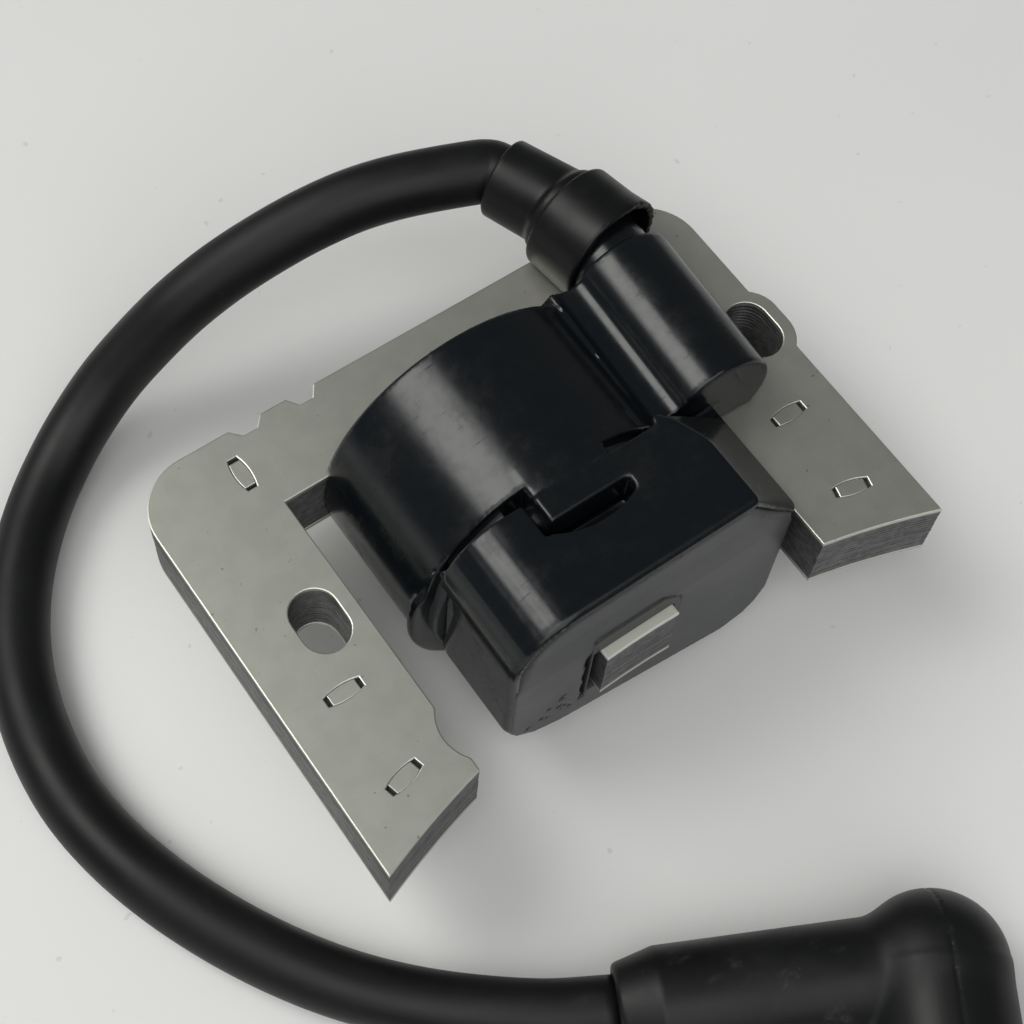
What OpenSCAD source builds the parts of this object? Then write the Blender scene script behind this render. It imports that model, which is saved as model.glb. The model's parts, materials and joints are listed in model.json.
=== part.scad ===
// Small engine ignition coil: a laminated E core with a potted coil block on its middle leg,
// a high-tension lead and a right-angle spark plug boot. Millimetres, +Z up, standing on Z = 0.
// The core lies flat, its pole faces towards -Y and its back yoke towards +Y.

/* [Laminated core] */
// Width over the two outer legs
core_w = 80; // [79:0.5:81]
// Width of each outer leg
leg_w = 15; // [14:0.5:15.5]
// Depth of the back yoke
yoke_d = 11.8; // [11:0.2:12]
// Width of the middle leg
mid_w = 10.4; // [10:0.1:10.4]
// Distance from the back edge to the middle pole face
pole_y = 49.5; // [49:0.1:50]
// Radius of the flywheel that the pole faces follow
pole_r = 115; // [110:1:130]
// Thickness of one lamination
sheet_t = 0.65; // [0.6:0.01:0.66]
// Number of laminations
sheet_n = 16; // [15:1:16]
// Height of the core's top face above the surface that it stands on
core_top = 24.8; // [24.6:0.1:25]
// Radius of the two back corners
corner_r = 7.5; // [6:0.5:8]

/* [Mounting slots] */
// Width of a slot, for a number 10 screw
slot_w = 6; // [5:0.1:6.2]
// Length of a slot, along the legs
slot_l = 8.6; // [8:0.1:9]
// Wall around the right slot, where it bulges out of the leg
slot_wall = 1.7; // [1.5:0.1:2]

/* [Coil case] */
// Outside radius of the round part that holds the windings
drum_r = 19.7; // [19.4:0.1:19.7]
// Wall thickness
wall = 1.6; // [1.4:0.1:1.8]
// Distance from the core's back edge to the open front of the case
case_front = 48.3; // [48.2:0.1:48.4]
// Radius of the high-tension tower
tower_r = 7.5; // [7.2:0.1:7.6]

/* [Lead and boot] */
// Diameter of the high-tension lead
lead_d = 8.2; // [7:0.1:8.2]
// Bore of the plug boot, for the plug's insulator
boot_bore = 11; // [10:0.5:12]
// Length of the boot's plug end, from the elbow's centre
boot_len = 27; // [24:1:30]

/* [Hidden] */
$fn = 96;
eps = 0.05;

// The core
stack_h = sheet_t * sheet_n;
core_low = core_top - stack_h;
mid_z = core_top - stack_h / 2;
leg_in = core_w / 2 - leg_w;
pole_cy = -pole_y - pole_r;
slot_left = [-29.9, -27.1];
slot_right = [36.9, -23.9];
bulge_r = slot_w / 2 + slot_wall;
// Half the distance between a slot's two end centres
slot_run = (slot_l - slot_w) / 2;
// Place, direction and size of the interlock lugs that hold the sheets together
lugs = [[-27.2, -5.8, 90], [27.2, -5.8, 90], [-32.4, -36, 0], [32.8, -35.9, 0],
        [-32.4, -48.2, 14], [32.8, -48.2, -14]];
lug_l = 4.8;
lug_w = 1.9;
lug_gap = 0.7;

// The core's own box is centred on the frame's origin
core_x = -(slot_right[0] + bulge_r - core_w / 2) / 2;
core_y = (-pole_cy - sqrt(pole_r * pole_r - core_w * core_w / 4)) / 2;

// The case: the box in front, seen from the poles, as corners in X and Z above the core's middle
drum_z = 19.6;
drum_back = -yoke_d - 0.3;
drum_front = -31.6;
box_back = -33.4;
box_wall = 1.4;
case_y = -case_front;
roof_z = 39.4;
left_x = -17.8;
left_r = 8.2;
right_x = 23.4;
flat_x = 15.6;
slope_z = 29.4;
// The box's lower corners, each with its way inwards
keel = [
    [23.4, 8.5, -1, 0.1], [22.2, 5.2, -0.9, 0.45], [20.4, 3.2, -0.7, 0.8], [16.6, 2.2, -0.2, 1],
    [-9.8, 8.2, 0.2, 1], [-14, 10.2, 0.5, 0.9], [-16.9, 13, 0.8, 0.6], [-17.8, 15.4, 1, 0.3]
];
tongue_x = 5.4;
tongue_y = -37.1;
groove_d = 2.4;
pot_y = case_y + 0.35;
// The lip round the lower left of the drum's front edge, and the slanting cut beside it
lip_w = 1;
lip_y = [drum_front - 0.3, drum_front + 0.8];
cut_x = -16;
cut_l = 5;

// The tower that the lead plugs into
tower_x = 24.4;
tower_z = core_top + 4.5;
tower_front = -31.6;
tower_back = -9.8;
// The tower leans a little to the right, about its front end
tower_turn = 2.6;
spigot_r = 5.8;
spigot_back = -3.2;
lead_bore = lead_d / 2 + 0.1;
bore_front = -23.4;
pin_r = 0.8;
pin_l = 9;
strand_r = 1.2;
strand_l = 9;

// The windings on the middle leg
tube_in = mid_w / 2 + 0.2;
tube_out = tube_in + 1.1;
tube_front = case_y - 0.15;
flange_half = 8.4;
flange_t = 1;
flange_ys = [-15.1, -31.4, -43.6, -47.4];
wire_half = [8, 7.9];
sleeve_r = [10.9, 12.1];
reel_r = [12.1, 13, 15.2];
reel_ys = [-15.2, -18.6, -22, -25.4, -28.8];
reel_t = 0.8;
reel_front = reel_ys[4] - reel_t;
way_r = reel_r[2] + 0.2;
link_y = -27;
link_r = 0.5;

// The electronics beside the front winding
board = [12.4, -46.2, 9.4];
board_size = [1.6, 11.4, 19];
cap_size = [6.8, 9.6, 12];

// The rubber cap where the lead leaves the tower: cup, then a neck bent towards the lead
cup_r = 7.6;
cup_wall = 0.75;
cup_at = [tower_x + 1, -7, tower_z];
cup_turn = 12.1;
cup_l = 9.75;
cup_hollow = 4.3;
neck_r = 5.5;
neck_turn = 24.6;
neck_l = 8.2;
// The lead's line turns from the tower's axis to the neck's in one arc
turn_r = 22;
neck_at = cup_at + cup_l * [-sin(cup_turn), cos(cup_turn), 0];
cross_y = neck_at[1] - (tower_x - neck_at[0]) / tan(neck_turn);
turn_l = turn_r * tan(neck_turn / 2);

// The lead's route from the cap's neck to the boot, in the row frame
route = [
    [21.04, 38.56, 29.3], [20.3, 40.4, 29.3], [17.3, 42.2, 29.3], [9.7, 44.6, 29], [3.6, 46.6, 28.2],
    [-2.5, 48, 26.8], [-8.5, 49.1, 24.8], [-14.5, 50.1, 22.1], [-20.5, 50.8, 18.7],
    [-26, 51.2, 14.7], [-32, 51, 10.4], [-38, 49.3, 7], [-43.5, 46.4, 5],
    [-48.5, 42.5, 4.2], [-53, 37.7, 4.1], [-57, 32.2, 4.1], [-60.2, 26, 4.1],
    [-62.4, 19.3, 4.1], [-63.6, 12.4, 4.1], [-63.8, 5.5, 4.1], [-62.8, -1.6, 4.1],
    [-60.7, -9, 4.1], [-57.6, -16.6, 4.1], [-53.8, -23.8, 4.1], [-49.4, -30.4, 4.1],
    [-44.5, -36.2, 4.2], [-39, -41.6, 4.7], [-32.3, -47.2, 5.7], [-25.2, -51.7, 6.4]
];
jacket_sides = 12;

// The boot: mouth, elbow and the directions of its two arms
mouth = [-25.2, -51.7, 6.4];
elbow = [7.4, -68.9, 9];
arm = elbow - mouth;
arm_l = norm(arm);
arm_yaw = atan2(arm[1], arm[0]);
arm_tilt = acos(arm[2] / arm_l);
plug_yaw = arm_yaw - 94;
head_r = 9;
arm_r = 6.7;
mouth_r = 5.3;
mouth_l = 5;
// How far the lead's end and its bared strands reach into the boot
lead_in = 22;
strand_in = 31;
// The clip's cup, around the plug's terminal
clip_r = [3.2, 3.9];
clip_at = [2, 7.6];
// The clip's room, and where the wider bore begins
clip_room = 4.3;
bore_at = 9;

module place() { translate([core_x, core_y, 0]) children(); }

// A slot or its bulge: an obround along Y
module obround(r) {
    translate([0, slot_run]) circle(r);
    translate([0, -slot_run]) circle(r);
    square([2 * r, 2 * slot_run], center = true);
}

// One E lamination, without its lugs. Its back edge is on Y = 0.
module sheet_outline() {
    reach = 60;
    notch = [[-2.1, 0.1], [-1.1, -1.4], [1.1, -1.4], [2.1, 0.1]];
    difference() {
        union() {
            translate([-core_w / 2 + corner_r, -yoke_d]) square([core_w - 2 * corner_r, yoke_d]);
            for (side = [-1, 1]) {
                translate([side * (core_w / 2 - corner_r), -corner_r]) circle(corner_r);
                translate([side * (core_w / 2 - leg_w / 2) - leg_w / 2, -reach])
                    square([leg_w, reach - corner_r]);
            }
            translate([-mid_w / 2, -reach]) square([mid_w, reach - 1]);
            translate(slot_right) obround(bulge_r);
        }
        translate([0, pole_cy]) circle(pole_r, $fn = 360);
        translate(slot_left) obround(slot_w / 2);
        translate(slot_right) obround(slot_w / 2);
        translate([-23.4, 0]) polygon(notch);
        translate([-15.5, 0]) polygon(notch);
        translate([-leg_in + 4.4, -47]) circle(5.65);
    }
}

// A lug's opening: a long hexagon with blunt ends
module lug_outline(length, width) {
    nose = 0.8;
    polygon([[-length / 2, -width / 4], [-length / 2 + nose, -width / 2],
             [length / 2 - nose, -width / 2], [length / 2, -width / 4],
             [length / 2, width / 4], [length / 2 - nose, width / 2],
             [-length / 2 + nose, width / 2], [-length / 2, width / 4]]);
}

module core_top_sheet() {
    color("silver") place() difference() {
        translate([0, 0, core_top - sheet_t]) linear_extrude(sheet_t) sheet_outline();
        for (l = lugs) translate([l[0], l[1], core_top - 0.5]) rotate([0, 0, l[2]])
            linear_extrude(1) difference() {
                lug_outline(lug_l, lug_w);
                lug_outline(lug_l - 2 * lug_gap, lug_w + 1);
            }
    }
}

module core_stack() {
    color("gray") place() translate([0, 0, core_low + sheet_t])
        linear_extrude(stack_h - 2 * sheet_t) sheet_outline();
}

module core_bottom_sheet() {
    color("silver") place() translate([0, 0, core_low])
        linear_extrude(sheet_t) sheet_outline();
}

// The box's outline seen along Y, drawn in by w on every side
module box_outline(w) {
    steps = 10;
    r = left_r - w;
    cx = left_x + left_r;
    cz = roof_z - left_r;
    arc = [for (i = [0 : steps]) [cx - r * cos(90 * i / steps), cz + r * sin(90 * i / steps)]];
    slope = w * 0.55;
    low = [for (k = keel) [k[0] + w * k[2], k[1] + w * k[3]]];
    polygon(concat(arc, [[flat_x - slope, roof_z - w], [right_x - w, slope_z - slope]], low));
}

// A solid between two Y planes, from an outline in X and Z
module along_y(from, to) {
    translate([0, to, 0]) rotate([90, 0, 0]) linear_extrude(to - from) children();
}

module rod_y(x, z, r, from, to) {
    translate([x, to, z]) rotate([90, 0, 0]) cylinder(h = to - from, r = r);
}

// The windings' room, the electronics' room and the way between them, which the potting fills
module case_room() {
    rod_y(0, drum_z, drum_r - wall, drum_front + wall, drum_back - wall);
    rod_y(0, drum_z, way_r, box_back, drum_front + wall + 1);
    along_y(case_y - 1, box_back - box_wall) box_outline(box_wall);
    intersection() {
        rod_y(0, drum_z, way_r, box_back - box_wall - 1, box_back + eps);
        along_y(case_y, box_back + eps) box_outline(box_wall);
    }
}

// The square way through the windings for the middle leg
module leg_way(half, from, to) {
    translate([-half, from, mid_z - half]) cube([2 * half, to - from, 2 * half]);
}

// The slots that set the box off from the drum
module step_slots() {
    top = roof_z - groove_d;
    left = -26;
    slot_back = box_back + 1.8;
    translate([left, box_back, top]) cube([-left - tongue_x, slot_back - box_back, 20]);
    translate([-tongue_x - 1.6, tongue_y - 1.3, top]) cube([1.6, slot_back - tongue_y + 1.3, 20]);
    intersection() {
        translate([0, tongue_y + 9, top]) cylinder(h = 20, r = 11.8);
        translate([-tongue_x - 1.6, tongue_y - 4, top]) cube([2 * tongue_x + 1.4, 4, 20]);
    }
    translate([6.2, box_back - 0.1, top - 2]) cube([5.2, 1.6, 20]);
}

module drum_lip() {
    intersection() {
        rod_y(0, drum_z, drum_r + lip_w, lip_y[0], lip_y[1]);
        translate([-30, -40, -1]) cube([17, 20, 30.5]);
    }
}

// The slanting cut in the box's left side, in front of the drum
module side_cut() {
    out = 0.7;
    reach = cut_l * (cut_x - left_x + out) / (cut_x - left_x);
    translate([0, 0, -1]) linear_extrude(32.6)
        polygon([[cut_x, drum_front], [left_x - out, drum_front - reach],
                 [left_x - out, drum_front]]);
}

module coil_case() {
    color("black") place() difference() {
        union() {
            rod_y(0, drum_z, drum_r, drum_front, drum_back + 1);
            rod_y(0, drum_z, way_r + 1, box_back - 0.6, drum_front + 0.4);
            difference() {
                union() {
                    along_y(case_y, box_back) box_outline(0);
                    // Below the roof the box runs back to the drum
                    intersection() {
                        along_y(box_back - 1, drum_front + 0.4) box_outline(0);
                        translate([-30, -60, -1]) cube([60, 60, 30.8]);
                    }
                }
                side_cut();
            }
            drum_lip();
            // The tongue of the drum's shell that reaches over the box
            translate([-tongue_x, tongue_y, roof_z - 6])
                cube([2 * tongue_x, drum_front - tongue_y + 1, 5.8]);
            at_tower() {
                rod_y(tower_x, tower_z, tower_r, tower_front, tower_back);
                rod_y(tower_x, tower_z, spigot_r, tower_back - 1, spigot_back);
                // Web between the drum and the tower
                translate([10, tower_front, core_top + 0.2])
                    cube([9, tower_back - 2.8 - tower_front, 7.8]);
            }
        }
        case_room();
        leg_way(tube_out, -60, 0);
        step_slots();
        at_tower() {
            rod_y(tower_x, tower_z, lead_bore, bore_front, 0);
            rod_y(tower_x, tower_z, pin_r, bore_front - pin_l + 3, bore_front + 1);
        }
        link_path();
        // Flat underside, and the seat on the core's top face
        translate([-50, -70, -5]) cube([100, 80, 5]);
        translate([leg_in - 0.2, -60, -1]) cube([30, 70, core_top + 1.1]);
        translate([-45, -yoke_d - 0.2, -1]) cube([90, 20, core_top + 1.1]);
    }
}

// The straight way from the outer winding's rim to the pin in the tower
module link_path() {
    run = [tower_x, 0, tower_z - drum_z];
    start = reel_r[2] - 0.6;
    translate([0, link_y, drum_z]) rotate([0, atan2(run[0], run[2]), 0]) translate([0, 0, start])
        cylinder(h = norm(run) - start, r = link_r);
}

module potting() {
    color("dimgray") place() difference() {
        intersection() {
            case_room();
            translate([-40, pot_y, -5]) cube([80, 60, 60]);
        }
        leg_way(tube_out, -60, 0);
        for (y = flange_ys) bobbin_flange(y);
        for (n = [0 : 2]) leg_way(wire_half[min(n, 1)], flange_ys[n + 1] + flange_t, flange_ys[n]);
        ring_y(sleeve_r[0], reel_r[2], reel_front, reel_ys[0]);
        link_path();
        parts_room();
    }
}

module bobbin_flange(y) {
    translate([-flange_half, y, mid_z - flange_half])
        cube([2 * flange_half, flange_t, 2 * flange_half]);
}

// One of the rectangular windings, between flange number n and the next one
module winding(n) {
    half = wire_half[min(n, 1)];
    corner = 2;
    along_y(flange_ys[n + 1] + flange_t, flange_ys[n]) translate([0, mid_z]) difference() {
        union() {
            square([2 * half, 2 * (half - corner)], center = true);
            square([2 * (half - corner), 2 * half], center = true);
            for (x = [-1, 1], z = [-1, 1])
                translate([x * (half - corner), z * (half - corner)]) circle(corner);
        }
        square(2 * tube_out, center = true);
    }
}

module core_bobbin() {
    color("ivory") place() difference() {
        union() {
            leg_way(tube_out, tube_front, drum_back);
            for (y = flange_ys) bobbin_flange(y);
        }
        leg_way(tube_in, -60, 0);
    }
}

module primary_winding() {
    color("peru") place() winding(0);
}

module charge_winding() {
    color("sienna") place() winding(1);
}

module trigger_winding() {
    color("chocolate") place() winding(2);
}

module ring_y(inner, outer, from, to) {
    difference() {
        rod_y(0, mid_z, outer, from, to);
        rod_y(0, mid_z, inner, from - 1, to + 1);
    }
}

module insulation_sleeve() {
    color("goldenrod") place() ring_y(sleeve_r[0], sleeve_r[1], reel_front, reel_ys[0]);
}

module secondary_bobbin() {
    color("ivory") place() {
        ring_y(reel_r[0], reel_r[1], reel_front, reel_ys[0]);
        for (y = reel_ys) ring_y(reel_r[1] - eps, reel_r[2], y - reel_t, y);
    }
}

module secondary_winding() {
    color("orangered") place() for (i = [0 : 3])
        ring_y(reel_r[1], reel_r[2] - 0.6, reel_ys[i + 1], reel_ys[i] - reel_t);
}

module circuit_board() {
    color("darkgreen") place() translate(board) cube(board_size);
}

// A place on the board's face, from Y and Z
function on_board(y, z) = [board[0] + board_size[0], y, z];
cap_at = on_board(-45.6, 9.9);
thyristor_at = on_board(-45.2, 23.2);
thyristor_size = [3.7, 4.8, 4.8];
rod_size = [1.2, 3.8];
diode_at = on_board(-39.4, 27) + [rod_size[0], 0, 0];
resistor_at = on_board(-39.4, 24.2) + [rod_size[0], 0, 0];
pin_size = [1.2, 0.6, 0.6];
pins = [for (y = [-46, -43.2, -35.6], z = [11.5, 26]) [board[0] - pin_size[0], y, z]];

module rod_part(at) {
    translate(at) rotate([-90, 0, 0]) cylinder(h = rod_size[1], r = rod_size[0]);
}

// The room that the board and its parts take in the potting
module parts_room() {
    translate(board) cube(board_size);
    translate(cap_at) cube(cap_size);
    translate(thyristor_at) cube(thyristor_size);
    rod_part(diode_at);
    rod_part(resistor_at);
    for (p = pins) translate(p) cube(pin_size);
}

module capacitor() {
    color("goldenrod") place() translate(cap_at) cube(cap_size);
}

// A thyristor's case: round, with a flat back against the board
module thyristor() {
    color("black") place() translate(thyristor_at) intersection() {
        cube(thyristor_size);
        translate([0.8, thyristor_size[1] / 2, -1]) cylinder(h = 8, r = 2.9);
    }
}

module rectifier_diode() {
    color("black") place() rod_part(diode_at);
}

module resistor() {
    color("tan") place() rod_part(resistor_at);
}

// Solder pins from the board towards the windings
module board_pins() {
    color("gold") place() for (p = pins) translate(p) cube(pin_size);
}

// Spring strip between the core's middle leg and the bobbin tube, at the case's back
module ground_strap() {
    strip = [3, 3.9, 0.2];
    color("gold") place() translate([-strip[0] / 2, -16, mid_z + mid_w / 2]) cube(strip);
}

module ht_pin() {
    color("gold") place() at_tower()
        rod_y(tower_x, tower_z, pin_r, bore_front - pin_l + 3, bore_front + 3);
}

module ht_link_wire() {
    color("orangered") place() difference() {
        link_path();
        at_tower() rod_y(tower_x, tower_z, pin_r, tower_front, bore_front);
    }
}

// The tower's frame, leaned about its front end
module at_tower() {
    translate([tower_x, tower_front, 0]) rotate([0, 0, -tower_turn])
        translate([-tower_x, -tower_front, 0]) children();
}

// The cap's own frames: the cup's lip, then the neck's root, with +Y along each
module at_cup() { translate(cup_at) rotate([0, 0, cup_turn]) children(); }
module at_neck() {
    at_cup() translate([0, cup_l, 0]) rotate([0, 0, neck_turn - cup_turn]) children();
}

// The lead's line inside the tower and the cap, at radius r
module hidden_lead(r) {
    last = norm([tower_x - neck_at[0], neck_at[1] - cross_y]) + neck_l - turn_l;
    rod_y(tower_x, tower_z, r, bore_front, cross_y - turn_l);
    translate([tower_x - turn_r, cross_y - turn_l, tower_z]) {
        rotate_extrude(angle = neck_turn) translate([turn_r, 0]) circle(r);
        rotate([0, 0, neck_turn]) translate([turn_r, 0, 0]) rotate([-90, 0, 0])
            cylinder(h = last, r = r);
    }
}

module lead_cap() {
    color("black") place() difference() {
        at_tower() {
            at_cup() rotate([-90, 0, 0]) cylinder(h = cup_l - 1.4, r = cup_r);
            at_cup() translate([0, cup_l - 1.5, 0]) rotate([-90, 0, 0])
                cylinder(h = 1.6, r1 = cup_r - 0.4, r2 = neck_r + 0.3);
            at_neck() translate([0, -2.4, 0]) rotate([-90, 0, 0])
                cylinder(h = neck_l + 2.4 - eps, r = neck_r);
        }
        at_tower() {
            at_cup() translate([0, -1, 0]) rotate([-90, 0, 0])
                cylinder(h = cup_hollow + 1, r = cup_r - cup_wall);
            hidden_lead(lead_d / 2 + eps);
        }
        // Flat where the cup lies on the yoke
        translate([0, -20, 0]) cube([60, 20.4, core_top + 0.1]);
    }
}

module lead_end_in_tower() {
    color("black") place() at_tower() difference() {
        hidden_lead(lead_d / 2);
        rod_y(tower_x, tower_z, strand_r, bore_front - 1, bore_front + strand_l);
    }
}

module strands_in_tower() {
    color("peru") place() at_tower() difference() {
        rod_y(tower_x, tower_z, strand_r, bore_front, bore_front + strand_l);
        rod_y(tower_x, tower_z, pin_r, bore_front - 1, bore_front + 3);
    }
}

// The jacket, swept along the route as one tube
function along(i) = route[min(i + 1, len(route) - 1)] - route[max(i - 1, 0)];
function unit(v) = v / norm(v);
function ring(i) = let (
        t = unit(along(i)),
        u = unit(cross([0, 0, 1], t)),
        w = cross(t, u)
    ) [for (k = [0 : jacket_sides - 1]) let (a = 360 * k / jacket_sides)
        route[i] + lead_d / 2 * (cos(a) * u + sin(a) * w)];

module lead_jacket() {
    n = len(route);
    points = [for (i = [0 : n - 1]) each ring(i)];
    sides = [for (i = [0 : n - 2], k = [0 : jacket_sides - 1])
        let (a = i * jacket_sides + k, b = i * jacket_sides + (k + 1) % jacket_sides)
            [a, b, b + jacket_sides, a + jacket_sides]];
    caps = [[for (k = [jacket_sides - 1 : -1 : 0]) k],
            [for (k = [0 : jacket_sides - 1]) (n - 1) * jacket_sides + k]];
    color("black") polyhedron(points, concat(sides, caps));
}

// The boot's arm, in a frame at its mouth, with +Z along the arm
module at_mouth() { translate(mouth) rotate([0, arm_tilt, arm_yaw]) children(); }

module arm_rod(r, from, to) {
    at_mouth() translate([0, 0, from]) cylinder(h = to - from, r = r);
}

module plug_rod(r, from, to) {
    translate(elbow) rotate([0, 90, plug_yaw]) translate([0, 0, from])
        cylinder(h = to - from, r = r);
}

module lead_end_in_boot() {
    color("black") difference() {
        arm_rod(lead_d / 2, 0, lead_in);
        arm_rod(strand_r, lead_in - 4, lead_in + 1);
    }
}

module strands_in_boot() {
    color("peru") arm_rod(strand_r, lead_in - 4, strand_in);
}

module plug_boot() {
    color("black") difference() {
        union() {
            at_mouth() cylinder(h = mouth_l, r1 = mouth_r, r2 = arm_r);
            arm_rod(arm_r, mouth_l, arm_l);
            translate(elbow) sphere(head_r);
            plug_rod(head_r, 0, boot_len);
        }
        arm_rod(lead_d / 2, -1, lead_in);
        arm_rod(strand_r, lead_in - 1, strand_in);
        plug_rod(clip_room, clip_at[0] - 0.4, bore_at + 1);
        plug_rod(boot_bore / 2, bore_at, boot_len + 1);
    }
}

// The spring clip that snaps on the plug's terminal, at the bottom of the boot's bore
module plug_clip() {
    color("gold") difference() {
        union() {
            plug_rod(clip_r[1], clip_at[0], clip_at[1]);
            plug_rod(clip_room, clip_at[0] - 0.4, clip_at[0] + 0.4);
        }
        plug_rod(clip_r[0], clip_at[0] + 0.6, clip_at[1] + 1);
        translate(elbow) rotate([0, 90, plug_yaw]) translate([0, -0.6, clip_at[0] + 1])
            cube([6, 1.2, 6]);
    }
}

core_top_sheet();
core_stack();
core_bottom_sheet();
coil_case();
potting();
core_bobbin();
primary_winding();
charge_winding();
trigger_winding();
insulation_sleeve();
secondary_bobbin();
secondary_winding();
circuit_board();
capacitor();
thyristor();
rectifier_diode();
resistor();
board_pins();
ground_strap();
ht_pin();
ht_link_wire();
lead_cap();
lead_end_in_tower();
strands_in_tower();
lead_jacket();
lead_end_in_boot();
strands_in_boot();
plug_boot();
plug_clip();
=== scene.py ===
"""The looks of a small engine's ignition coil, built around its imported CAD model.

Every length here is in millimetres until a mesh is made. The "core frame" has X = 0 on the
core's middle leg, Y = 0 on its back edge and Z = 0 on the floor. The "row frame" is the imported
model's own, and ORIGIN is the core frame's origin in it.
"""

import json
import math

import bpy
import numpy as np
from mathutils import Matrix, Vector
from mathutils.geometry import tessellate_polygon


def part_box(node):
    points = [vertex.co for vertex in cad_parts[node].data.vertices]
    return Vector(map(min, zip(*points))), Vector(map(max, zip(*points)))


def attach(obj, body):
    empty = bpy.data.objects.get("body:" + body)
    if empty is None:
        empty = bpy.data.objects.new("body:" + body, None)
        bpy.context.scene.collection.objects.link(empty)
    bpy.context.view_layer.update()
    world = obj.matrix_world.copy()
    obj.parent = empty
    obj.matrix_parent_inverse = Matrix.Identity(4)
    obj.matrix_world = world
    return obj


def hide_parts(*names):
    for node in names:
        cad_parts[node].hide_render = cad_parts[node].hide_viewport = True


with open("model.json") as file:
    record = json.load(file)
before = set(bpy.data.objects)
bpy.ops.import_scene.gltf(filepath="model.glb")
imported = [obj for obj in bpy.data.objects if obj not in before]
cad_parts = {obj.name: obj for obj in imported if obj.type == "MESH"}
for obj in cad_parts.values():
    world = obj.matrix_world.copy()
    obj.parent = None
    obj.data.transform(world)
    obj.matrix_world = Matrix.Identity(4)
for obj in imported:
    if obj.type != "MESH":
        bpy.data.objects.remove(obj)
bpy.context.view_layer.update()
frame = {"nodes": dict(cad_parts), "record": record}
MM = 0.001

# ---------------------------------------------------------------- driving dimensions

CORE_W = 80.0
LEG_W = 15.0
YOKE_D = 11.8
MID_W = 10.4
POLE_Y = 49.5
POLE_R = 115.0
CORNER_R = 7.5
SHEETS = 16
SLOT_W = 6.0
SLOT_L = 8.6
SLOT_WALL = 1.7
SLOT_LEFT = (-29.9, -27.1)
SLOT_RIGHT = (36.9, -23.9)
LUGS = (
    (-27.2, -5.8, 90), (27.2, -5.8, 90), (-32.4, -36, 0),
    (32.8, -35.9, 0), (-32.4, -48.2, 14), (32.8, -48.2, -14),
)
LUG_L = 4.8
LUG_W = 2.0
LEAD_D = 8.2

CORE_LOW, CORE_HIGH = (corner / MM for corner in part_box("core_stack"))
ORIGIN = np.array([CORE_LOW.x + CORE_W / 2, CORE_HIGH.y, 0.0])
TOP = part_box("core_top_sheet")[1].z / MM
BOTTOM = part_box("core_bottom_sheet")[0].z / MM
SHEET_T = (TOP - BOTTOM) / SHEETS
MID_Z = (TOP + BOTTOM) / 2

DRUM_R = 19.7
DRUM_Z = 19.6
DRUM_FRONT = -31.7
DRUM_BACK = -11.1
TONGUE_FRONT = -37.1
TONGUE_LEFT = -5.4
LINK_W = 1.5
BOWL_R = 11.8
POCKET_DEPTH = 5.5
BOX_FRONT = -48.3
BOX_BACK = -33.4
ROOF = 39.4
# Where the box meets the drum: the groove between them, and the height below which they are one
GROOVE_Y = -32.55
SHOULDER = 29.8
TOWER = (24.4, TOP + 4.5)
TOWER_R = 7.4
TOWER_FRONT = -31.6
TOWER_BACK = -9.8
TOWER_TURN = math.radians(2.6)
SPIGOT_R = 5.8
SPIGOT_BACK = -3.2
BORE_END = -23.4
# The centre and radius of the hollow between the drum and the tower
FILLET = (16.08, 36.31)
FILLET_R = 3.5
# Half the square hole that the middle leg and its tube need in the case
LEG_ROOM = 6.5

# The lead's route from the cap's neck to the boot's mouth, in the row frame
ROUTE = [
    (21.04, 38.56, 29.3), (20.1, 40.2, 29.3), (17.0, 41.7, 29.3), (9.7, 44.6, 29), (3.6, 46.6, 28.2),
    (-2.5, 48, 26.8), (-8.5, 49.1, 24.8), (-14.5, 50.1, 22.1), (-20.5, 50.8, 18.7),
    (-26, 51.2, 14.7), (-32, 51, 10.4), (-38, 49.3, 7), (-43.5, 46.4, 5),
    (-48.5, 42.5, 4.2), (-53, 37.7, 4.1), (-57, 32.2, 4.1), (-60.2, 26, 4.1),
    (-62.4, 19.3, 4.1), (-63.6, 12.4, 4.1), (-63.8, 5.5, 4.1), (-62.8, -1.6, 4.1),
    (-60.7, -9, 4.1), (-57.6, -16.6, 4.1), (-53.8, -23.8, 4.1), (-49.4, -30.4, 4.1),
    (-44.5, -36.2, 4.2), (-39, -41.6, 4.7), (-32.3, -47.2, 5.7), (-25.2, -51.7, 6.4),
]
# The boot, in the row frame: its mouth, its elbow and the turn from one arm to the other
MOUTH = np.array([-25.2, -51.7, 6.4])
ELBOW = np.array([7.4, -68.9, 9.0])
PLUG_TURN = -94.0
PLUG_L = 27.0
BORE_R = 5.5


# ---------------------------------------------------------------- camera

def aim(obj, place, forward, right):
    """Puts a camera or lamp at a place, looking along forward with right to its right."""
    back = -Vector(forward).normalized()
    side = Vector(right)
    side = (side - back * side.dot(back)).normalized()
    up = back.cross(side)
    turn = Matrix((side, up, back)).transposed()
    obj.matrix_world = Matrix.Translation(Vector(place) * MM) @ turn.to_4x4()


def make_camera():
    """The camera, solved from the core's straight edges."""
    data = bpy.data.cameras.new("camera")
    data.lens = 66.4
    data.sensor_width = 36
    data.clip_start = 0.01
    data.clip_end = 20
    camera = bpy.data.objects.new("camera", data)
    bpy.context.scene.collection.objects.link(camera)
    aim(camera, (-71.5, -77.3, 224.9), (0.299, 0.345, -0.889), (0.8146, -0.5778, 0.0507))
    bpy.context.scene.camera = camera


# ---------------------------------------------------------------- distance fields
# A field is a function of x, y, z arrays: negative inside the solid, in millimetres.

def blend_min(a, b, soft):
    """The smaller of two fields, rounded over where they are nearly equal."""
    mix = np.clip(0.5 + 0.5 * (b - a) / soft, 0, 1)
    return b + (a - b) * mix - soft * mix * (1 - mix)


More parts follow.
